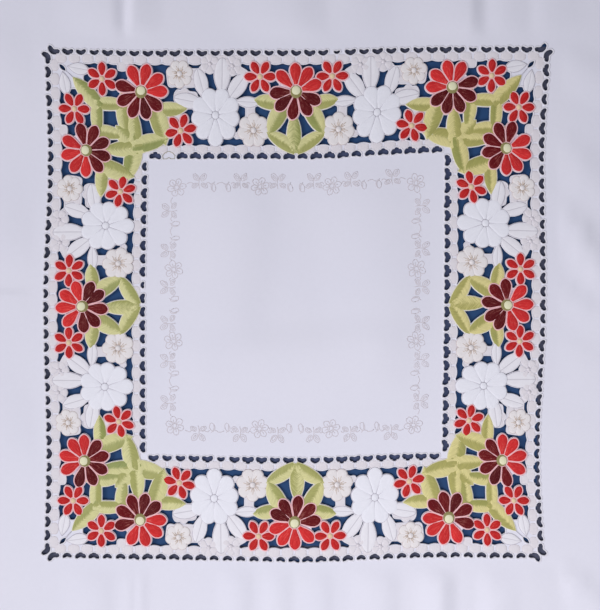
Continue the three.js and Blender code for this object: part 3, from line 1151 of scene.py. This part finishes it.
vein_lines = []
for flower in paired_flowers:
    look = flower["look"]
    if look["kind"] != "cream":
        continue
    for place, hand in ((on_side, 1), (on_side_twin, -1)):
        centre = np.array(place(flower["at"]))
        for angle in flower["angles"]:
            for lean, far in vein_stitches:
                way = direction(angle + lean if hand > 0 else 180 - angle - lean)
                vein_lines.append(arc(centre + vein_start * look["reach"] * way,
                                      centre + far * look["reach"] * way, 0.3 * hand, 4))
slit_lines = [arc(on_corner(slit_tip), on_corner((25, 25)), 0.2, 4)]
hem_lines = [arc((start, hem_seam), (start + hem_stitch, hem_seam), 0.1, 3)
             for start in np.arange(4 - hem_seam, hem_seam - 4, hem_pitch)]
uncut_heart_lines = [np.vstack([uncut_line, uncut_line[:1]])]
print("veins:", len(vein_lines), "hem stitches on one side:", len(hem_lines))

# %% [markdown]
# Each thread is a thin tube along its line. A tube's ring has five points, which is enough
# for a thread that is seen as one or two pixels.

# %% Threads
tube_turn = np.radians([90, 162, 234, 306, 18])


def thread_piece(name, lines, radius, base=0.0, sides=4):
    """One mesh of tubes along lines of the flat cloth, repeated on its sides."""
    places, faces, plans, first = [], [], [], 0
    ring = len(tube_turn)
    for line in lines:
        for turned in quarter_turns(line)[:sides]:
            way = np.gradient(turned, axis=0)
            way /= np.maximum(np.linalg.norm(way, axis=1, keepdims=True), 1e-9)
            across = np.stack([way[:, 1], -way[:, 0]], axis=1)
            run = np.concatenate([[0], np.cumsum(np.linalg.norm(np.diff(turned, axis=0), axis=1))])
            count = len(turned)
            for turn in tube_turn:
                flat = pulled(turned + radius * math.cos(turn) * across)
                places.append(on_cloth(flat, base + radius * math.sin(turn)))
                plans.append(np.stack([run, np.full(count, turn)], axis=1))
            faces.extend(ring_faces(count, ring, first, closed_rings=True, closed_lines=False))
            near_end = [first + side * count for side in range(ring)]
            far_end = [point + count - 1 for point in reversed(near_end)]
            faces.extend([tuple(near_end), tuple(far_end)])
            first += ring * count
    return finished(name, joined_mesh(name, places, faces, plans))


wreath = thread_piece("wreath_threads", wreath_lines, 0.5, -0.2)
slit_threads = thread_piece("slit_threads", slit_lines, 0.25, 0.45)
flower_veins = thread_piece("flower_veins", vein_lines, 0.24, 1.1)
hem_stitches = thread_piece("hem_stitches", hem_lines, 0.3, 0.05)
uncut_heart_thread = thread_piece("uncut_heart_thread", uncut_heart_lines, 0.4, 0.2, sides=1)

# %% [markdown]
# Materials are written as sums. A small class wraps a socket so that numbers and sockets can
# be added and multiplied, and one method makes every other node.

# %% A class for shader sums
class Value:
    """A socket that takes part in sums as a number does."""

    def __init__(self, finish, socket):
        self.finish = finish
        self.socket = socket

    def maths(self, operation, *values):
        return self.finish.node("ShaderNodeMath", {"operation": operation}, dict(enumerate(values)))

    def __add__(self, other):
        return self.maths("ADD", self, other)

    def __radd__(self, other):
        return self.maths("ADD", other, self)

    def __sub__(self, other):
        return self.maths("SUBTRACT", self, other)

    def __rsub__(self, other):
        return self.maths("SUBTRACT", other, self)

    def __mul__(self, other):
        return self.maths("MULTIPLY", self, other)

    def __rmul__(self, other):
        return self.maths("MULTIPLY", other, self)

    def __abs__(self):
        return self.maths("ABSOLUTE", self)

    def wave(self, length):
        """A sine with this distance from crest to crest."""
        return self.maths("SINE", self * (math.tau / length))


class Finish:
    """A material and the nodes that make it."""

    def __init__(self, name, roughness=0.8, sheen=0.0, specular=0.3):
        self.material = bpy.data.materials.new(name)
        self.material.use_nodes = True
        self.nodes = self.material.node_tree.nodes
        self.links = self.material.node_tree.links
        self.shader = self.nodes["Principled BSDF"]
        self.shader.inputs["Roughness"].default_value = roughness
        self.shader.inputs["Sheen Weight"].default_value = sheen
        self.shader.inputs["Specular IOR Level"].default_value = specular

    def set(self, socket, value):
        if isinstance(value, Value):
            self.links.new(value.socket, socket)
        else:
            socket.default_value = value

    def node(self, kind, settings=None, values=None, out=0):
        """A node with its settings, such as an operation or a ramp's stops, and its inputs."""
        node = self.nodes.new(kind)
        for name, value in (settings or {}).items():
            if name == "stops":
                ramp = node.color_ramp.elements
                while len(ramp) < len(value):
                    ramp.new(0.5)
                for element, (place, colour) in zip(ramp, value):
                    element.position = place
                    element.color = colour
            else:
                setattr(node, name, value)
        for name, value in (values or {}).items():
            self.set(node.inputs[name], value)
        return Value(self, node.outputs[out])

    def mix(self, share, one, other, blend="MIX"):
        return self.node("ShaderNodeMix", {"data_type": "RGBA", "blend_type": blend},
                         {0: share, 6: one, 7: other}, out=2)

    def tint(self, colour, share):
        """A colour made lighter or darker by a share."""
        grey = self.node("ShaderNodeCombineColor", {}, {0: share, 1: share, 2: share})
        return self.mix(1.0, colour, grey, "MULTIPLY")

    def smooth(self, value, low, high):
        """0 at low and 1 at high, with soft ends. Low may be the greater one."""
        return self.node("ShaderNodeMapRange", {"interpolation_type": "SMOOTHSTEP"},
                         {0: value, 1: low, 2: high})

    def clamped(self, value, times, plus):
        """The value times one number plus another, kept between 0 and 1."""
        return self.node("ShaderNodeMath", {"operation": "MULTIPLY_ADD", "use_clamp": True},
                         {0: value, 1: times, 2: plus})

    def fact(self, name):
        return self.node("ShaderNodeAttribute", {"attribute_name": name}, out=2)

    def place(self):
        return self.node("ShaderNodeTexCoord", out=3)

    def plan(self):
        return self.node("ShaderNodeUVMap", {"uv_map": "stitches"})

    def axes(self, place):
        """The numbers of a place, one by one: across, along and up."""
        split = self.node("ShaderNodeSeparateXYZ", {}, {0: place}).socket.node
        return [Value(self, out) for out in split.outputs]

    def noise(self, place, scale, detail=2.0, roughness=0.5):
        return self.node("ShaderNodeTexNoise", {}, {
            "Vector": place, "Scale": scale, "Detail": detail, "Roughness": roughness})

    def bump(self, height, strength, distance):
        return self.node("ShaderNodeBump", {}, {
            "Height": height, "Strength": strength, "Distance": distance})

    def done(self, colour, bump=None):
        self.set(self.shader.inputs["Base Color"], colour)
        if bump is not None:
            self.set(self.shader.inputs["Normal"], bump)
        return self.material


def colour(red, green, blue):
    """A colour as a screen shows it, from 0 to 255, in the linear numbers of a shader."""
    def linear(value):
        share = value / 255
        return share / 12.92 if share <= 0.04045 else ((share + 0.055) / 1.055) ** 2.4
    return (linear(red), linear(green), linear(blue), 1.0)


print("a mid grey in linear numbers:", round(colour(128, 128, 128)[0], 3))

# %% [markdown]
# The cloth is a plain weave of fine white yarn with a blue-white finish. Up close the yarns
# cross over and under; from a step away the weave only softens the light, with a faint
# unevenness in its whiteness.

# %% White cloth finish
yarn_pitch = 0.0009


def white_cloth():
    finish = Finish("white_weave", roughness=0.85, sheen=0.15, specular=0.25)
    place = finish.place()
    x, y, _ = finish.axes(place)
    weave = x.wave(yarn_pitch) * y.wave(yarn_pitch)
    slubs = finish.noise(place, 900.0, 1.0)
    patches = finish.noise(place, 9.0)
    fine = finish.noise(place, 260.0)
    base = finish.mix(patches, colour(224, 223, 238), colour(230, 228, 241))
    relief = weave * 0.5 + slubs * 0.6
    return finish.done(finish.tint(base, 0.985 + fine * 0.03), finish.bump(relief, 0.25, 0.00025))


# %% [markdown]
# Stitched thread is satin: many fine threads side by side, which shine along their run. The
# UV map of every form is its own plan in millimetres, across and along, so the threads keep
# their size on a big petal and a small one. Streaks a few threads wide lighten the colour as
# a painted sheen for the uneven shine, and the bump is at the size of the thread.

# %% Thread finishes
thread_width = 0.42
binding_thread_width = 0.6
thread_relief = 0.0002
leaf_slant = 0.8


def streaks_on(finish, plan, run=0.16, spread=1.1):
    """Uneven streaks along the stitches of a plan, different on every form."""
    stretched = finish.node("ShaderNodeMapping", {}, {0: plan, "Scale": (spread, run, 1.0)})
    lot = finish.fact("lot")
    shifted = finish.node("ShaderNodeVectorMath", {"operation": "ADD"}, {0: stretched, 1: lot * 40.0})
    return finish.noise(shifted, 1.0, 3.0, 0.6)


def satin(finish, base, across, streaks, darkest, gain, strength=0.3):
    """Streaks of painted sheen that lighten the base colour, and the relief of threads laid side by
    side.
    """
    relief = across.wave(thread_width) + streaks * 2.0
    return finish.done(finish.tint(base, darkest + streaks * gain),
                       finish.bump(relief, strength, thread_relief))


def red_thread(name, dark, middle, bright, flecks):
    """Satin that is dark or bright by its tone, lightened near its base and flecked."""
    finish = Finish(name, roughness=0.6, specular=0.15)
    plan = finish.plan()
    streaks, dashes = streaks_on(finish, plan), streaks_on(finish, plan, 0.55, 1.9)
    tone, along, lot = (finish.fact(fact) for fact in ("tone", "along", "lot"))
    base = finish.node("ShaderNodeValToRGB", {"stops": [(0.0, dark), (0.5, middle), (1.0, bright)]},
                       {0: tone * 0.82 + lot * 0.18})
    uneven = finish.clamped(streaks, 4.0, -2.1)
    near_base = finish.clamped(along, -1.0, 0.62)
    lightened = finish.mix(uneven * (0.10 + near_base * 0.45), base, flecks)
    flecked = finish.mix(finish.clamped(dashes, 9.0, -5.6) * 0.34, lightened, flecks)
    return satin(finish, flecked, finish.axes(plan)[0], streaks, 0.62, 0.70, 0.35)


def leaf_thread(name, pale, deep, strong, warmth):
    """Two halves of different greens, partly painted sheen, with a ragged border and warmer to the
    right.
    """
    finish = Finish(name, roughness=0.5, sheen=0.1, specular=0.4)
    across, along, _ = finish.axes(finish.plan())
    outwards = abs(across)
    slanted = along + outwards * leaf_slant
    streaks = streaks_on(finish, finish.node("ShaderNodeCombineXYZ", {}, {0: slanted, 1: outwards}))
    side, tone, lot = (finish.fact(fact) for fact in ("across", "tone", "lot"))
    dark_half = finish.mix(finish.clamped(lot, 1.8, -1.0), deep, strong)
    # The pale half is partly painted sheen: the half whose slanted stitches catch the light.
    half = finish.smooth(side * tone * 2.2 + (streaks - 0.5) * 1.6 + 0.5, 0.0, 1.0)
    base = finish.mix(half, dark_half, pale)
    right = finish.smooth(finish.axes(finish.place())[0], -0.05, 0.2)
    warmed = finish.mix(right, base, warmth, "MULTIPLY")
    return satin(finish, warmed, slanted, streaks, 0.71, 0.58)


def pale_thread(name, base, groove, groove_from=0.80, groove_to=1.0):
    """A pale satin with a darker line: at its rim, or as a vein along its middle."""
    finish = Finish(name, roughness=0.6, sheen=0.1, specular=0.35)
    plan = finish.plan()
    # The darker line is partly thread and partly painted shade, for the shadow in the groove.
    line = finish.smooth(abs(finish.fact("across")), groove_from, groove_to)
    mixed = finish.mix(line * 0.7, base, groove)
    return satin(finish, mixed, finish.axes(plan)[0], streaks_on(finish, plan), 0.94, 0.12)


def binding_thread(name, base):
    """Close stitches round an edge, or one thread along a line."""
    finish = Finish(name, roughness=0.6, sheen=0.1, specular=0.35)
    plan = finish.plan()
    around = finish.axes(plan)[0]
    uneven = finish.noise(plan, 0.5)
    return finish.done(finish.tint(base, 0.93 + uneven * 0.12),
                       finish.bump(around.wave(binding_thread_width), 0.4, thread_relief))


# %% [markdown]
# Now the colours. The reds and greens are strong and uneven. The whites differ only a little
# from each other: the big flowers are the whitest, the shells are warmer, and the small
# flowers are cream.

# %% Thread colours
# The second colour of each pale thread is its darker line: thread and painted groove shade.
white_groove = colour(194, 189, 201)
rose_thread = red_thread("rose_thread", colour(84, 8, 18), colour(144, 20, 28), colour(226, 50, 52),
                         colour(248, 176, 160))
small_thread = red_thread("small_flower_thread", colour(146, 20, 26), colour(178, 28, 32),
                          colour(200, 36, 38), colour(244, 156, 136))
green_thread = leaf_thread("leaf_thread", colour(214, 210, 152), colour(168, 168, 101),
                           colour(138, 149, 80), (1.07, 0.99, 0.89, 1.0))
white_thread = pale_thread("white_thread", colour(237, 236, 247), white_groove)
shell_thread = pale_thread("shell_thread", colour(228, 222, 230), colour(208, 190, 192))
vein_thread = pale_thread("white_leaf_thread", colour(236, 233, 242), white_groove, 0.09, 0.02)
cream_thread = pale_thread("cream_thread", colour(235, 229, 232), colour(218, 203, 200))
knob_thread = pale_thread("knob_thread", colour(232, 230, 196), colour(196, 190, 140))
olive_thread = pale_thread("olive_thread", colour(146, 138, 88), colour(112, 104, 62))
peach_thread = pale_thread("peach_thread", colour(232, 206, 170), colour(200, 156, 124))
pink_rim = binding_thread("pink_rim_thread", colour(245, 193, 200))
pale_rim = binding_thread("pale_rim_thread", colour(230, 224, 192))
white_rim = binding_thread("white_rim_thread", colour(232, 229, 240))
mauve_rim = binding_thread("mauve_rim_thread", colour(196, 191, 204))
faint_rim = binding_thread("faint_rim_thread", colour(216, 205, 210))
beige_rim = binding_thread("beige_rim_thread", colour(208, 192, 188))
vein_line_thread = binding_thread("beige_thread", colour(208, 186, 168))
line_thread = binding_thread("wreath_thread", colour(217, 210, 219))
grey_thread = binding_thread("grey_thread", colour(192, 187, 198))
olive_line_thread = binding_thread("olive_line_thread", colour(190, 184, 168))
hem_thread = binding_thread("hem_thread", colour(236, 232, 242))
print("threads:", sum(material.name.endswith("_thread") for material in bpy.data.materials))

# %% [markdown]
# Each piece takes its fill first and its rim second, as the mesh numbers them.

# %% Dress the pieces
finishes = (
    (cloth, [white_cloth()]),
    (rose_petals, [rose_thread, pink_rim]),
    (small_petals, [small_thread, pink_rim]),
    (green_leaves, [green_thread, pale_rim]),
    (white_leaves, [vein_thread, mauve_rim]),
    (ties, [shell_thread, white_rim]),
    (white_petals, [white_thread, mauve_rim]),
    (knot_petals, [shell_thread, white_rim]),
    (cream_petals, [cream_thread, beige_rim]),
    (flower_veins, [vein_line_thread]),
    (shells, [shell_thread, faint_rim]),
    (crescents, [olive_thread]),
    (knobs, [knob_thread]),
    (small_knobs, [peach_thread]),
    (bound_edges, [white_rim]),
    (wreath, [line_thread]),
    (slit_threads, [grey_thread]),
    (hem_stitches, [hem_thread]),
    (uncut_heart_thread, [olive_line_thread]),
)
for piece, materials in finishes:
    for material in materials:
        piece.data.materials.append(material)
print("pieces dressed:", len(finishes))

# %% [markdown]
# Under the cloth lies what the photographer put there: a plain floor, and a plain blue sheet
# that shows through the openwork. Neither is part of the object, so both are only stage. The
# blue sheet is painted darker under each row of hearts: painted shade for the shadow that the
# cloth casts into the small holes.

# %% Stage
floor_half = 2.0
floor_drop = 0.002
display_half = plate_half * MM
display_drop = 0.0018
painted_row_shades = [(outer_row, colour(78, 81, 102)), (inner_row, colour(72, 81, 114))]
shade_ends = (8 * MM, 6 * MM)


def stage_sheet(name, half, drop, base, roughness, shades=()):
    """A flat square of the stage, perhaps with painted shade under each row of hearts."""
    bm = bmesh.new()
    bmesh.ops.create_grid(bm, x_segments=1, y_segments=1, size=half)
    bmesh.ops.translate(bm, verts=bm.verts, vec=(0, 0, -drop))
    sheet = piece_from(bm, name)
    finish = Finish(name, roughness=roughness, specular=0.2)
    place = finish.place()
    mottle = finish.noise(place, 40.0, 3.0)
    # Painted shade: the colour darkens near each row of hearts, where the cloth's shadow falls into
    # the holes.
    for row, shade in shades:
        across, along, _ = finish.axes(place)
        from_middle = across.maths("MAXIMUM", abs(across), abs(along))
        near_row = finish.smooth(abs(from_middle - row * MM), *shade_ends)
        base = finish.mix(near_row, base, shade)
    sheet.data.materials.append(finish.done(finish.tint(base, 0.95 + mottle * 0.1)))
    return sheet


floor = stage_sheet("floor", floor_half, floor_drop, colour(226, 228, 234), 0.8)
stage_sheet("blue_display_sheet", display_half, display_drop, colour(38, 70, 114), 0.7, painted_row_shades)

# %% [markdown]
# Last, every piece moves with the one body of the frame, and the CAD part is hidden.

# %% Attach to the frame's body
for piece, _ in finishes:
    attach(piece, "root")
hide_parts("cloth")
